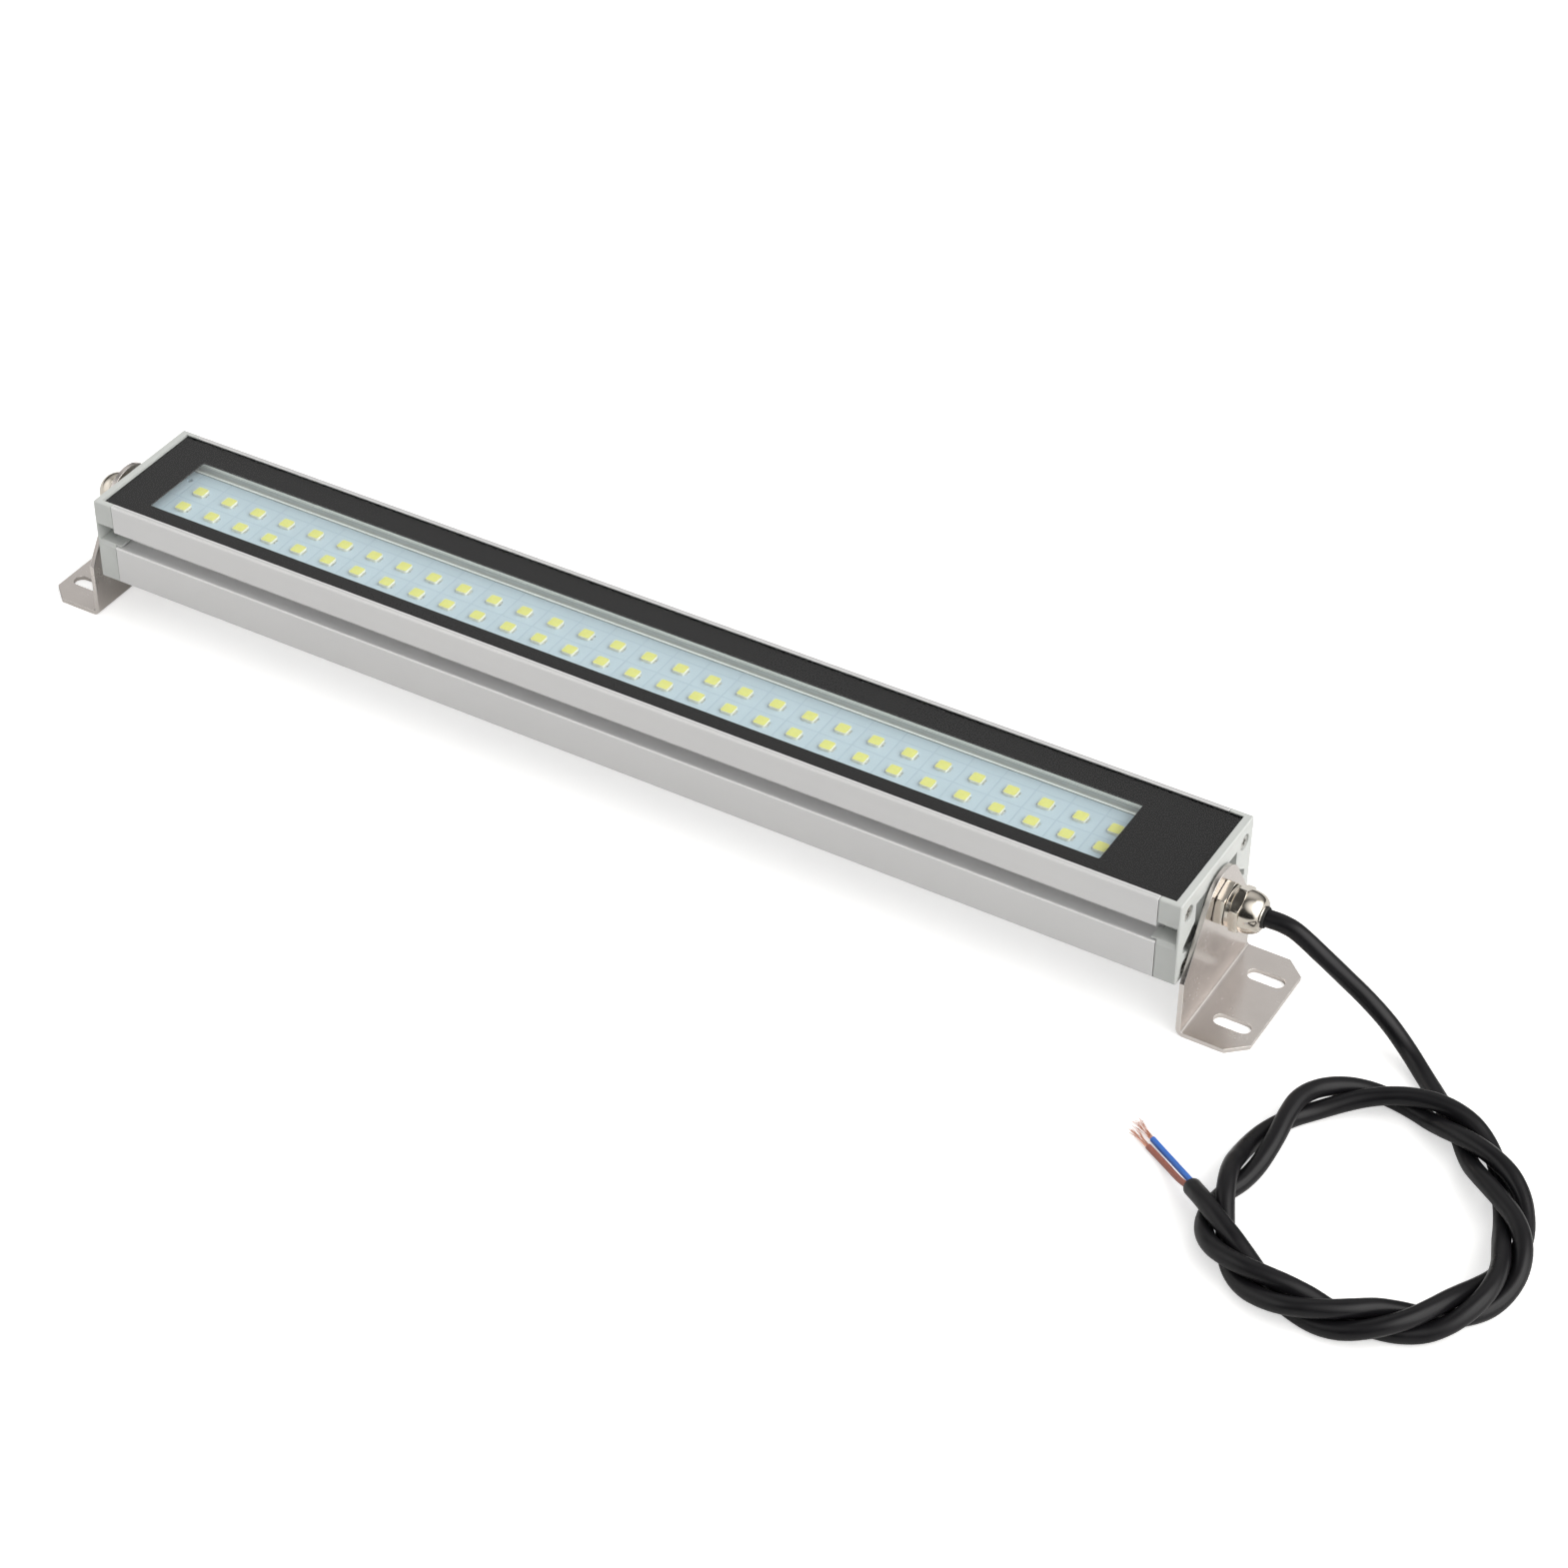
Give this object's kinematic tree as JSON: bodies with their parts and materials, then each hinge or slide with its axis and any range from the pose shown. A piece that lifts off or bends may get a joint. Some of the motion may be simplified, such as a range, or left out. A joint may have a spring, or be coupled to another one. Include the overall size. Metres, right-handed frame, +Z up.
{
  "type": "machine work light",
  "caption": "Linear machine work light: glazed aluminium profile over an LED board, end caps, swivelling sheet feet, cable gland and a coiled cord with bare ends.",
  "frame": {"origin": "centre of the lamp's own box, without its cord, on the plane its two feet stand on", "axes": "+X along the lamp towards the cable gland, -Y towards the cord's coil, +Z up out of the glass"},
  "size_m": [0.7081, 0.1784, 0.0639],
  "materials": {
    "anodised_aluminium": "matte natural anodised",
    "clear_glass": "clear toughened glass",
    "black_print": "black print under the glass",
    "led_board_white": "white solder resist, blue-white in the light",
    "moulded_cap": "light grey, fine texture",
    "zinc_screw": "zinc plated",
    "stainless_sheet": "fine brushed stainless",
    "nickel_plating": "nickel plated, polished",
    "black_rubber": "matte black",
    "cord_jacket": "satin black jacket",
    "brown_insulation": "brown core",
    "blue_insulation": "blue core",
    "red_insulation": "red wire",
    "black_insulation": "black wire",
    "bare_copper": "bare copper strands",
    "insulating_film": "off-white",
    "driver_laminate": "green circuit board",
    "capacitor_sleeve": "dark sleeve",
    "ferrite_and_copper": "ferrite core with wound coil",
    "terminal_plastic": "blue terminal block"
  },
  "bodies": {
    "lamp": {"housing_extrusion": "anodised_aluminium", "glass_panel": "clear_glass", "glass_border_frame": "black_print", "led_board": "led_board_white", "end_cap_left": "moulded_cap", "end_cap_right": "moulded_cap", "cap_screw_left_top_rear": "zinc_screw", "cap_screw_left_top_front": "zinc_screw", "cap_screw_left_low_rear": "zinc_screw", "cap_screw_left_low_front": "zinc_screw", "cap_screw_right_top_rear": "zinc_screw", "cap_screw_right_top_front": "zinc_screw", "cap_screw_right_low_rear": "zinc_screw", "cap_screw_right_low_front": "zinc_screw", "gland_body": "nickel_plating", "gland_locknut": "nickel_plating", "gland_dome_nut": "nickel_plating", "swivel_spacer_left": "nickel_plating", "swivel_locknut_left": "nickel_plating", "blind_dome_nut_left": "nickel_plating", "gland_washer": "black_rubber", "gland_seal_sleeve": "black_rubber", "end_seal_left": "black_rubber", "end_seal_right": "black_rubber", "cord_inlet": "cord_jacket", "cord_lead": "cord_jacket", "cord_coil": "cord_jacket", "cord_tail": "cord_jacket", "core_brown": "brown_insulation", "feed_wire_brown": "brown_insulation", "core_blue": "blue_insulation", "feed_wire_blue": "blue_insulation", "board_wire_red": "red_insulation", "board_wire_black": "black_insulation", "copper_strands_brown": "bare_copper", "copper_strands_blue": "bare_copper", "driver_tray": "insulating_film", "driver_board": "driver_laminate", "driver_capacitor": "capacitor_sleeve", "driver_choke": "ferrite_and_copper", "driver_terminal": "terminal_plastic"},
    "bracket_left": {"bracket_left": "stainless_sheet"},
    "bracket_right": {"bracket_right": "stainless_sheet"}
  },
  "joints": [
    {"name": "swivel_left", "type": "hinge", "parent": "lamp", "child": "bracket_left", "pos_m": [-0.2575, 0, 0.0454], "axis": [1, 0, 0], "range_deg": [-180, 180]},
    {"name": "swivel_right", "type": "hinge", "parent": "lamp", "child": "bracket_right", "pos_m": [0.2575, 0, 0.0454], "axis": [1, 0, 0], "range_deg": [-180, 180]}
  ]
}
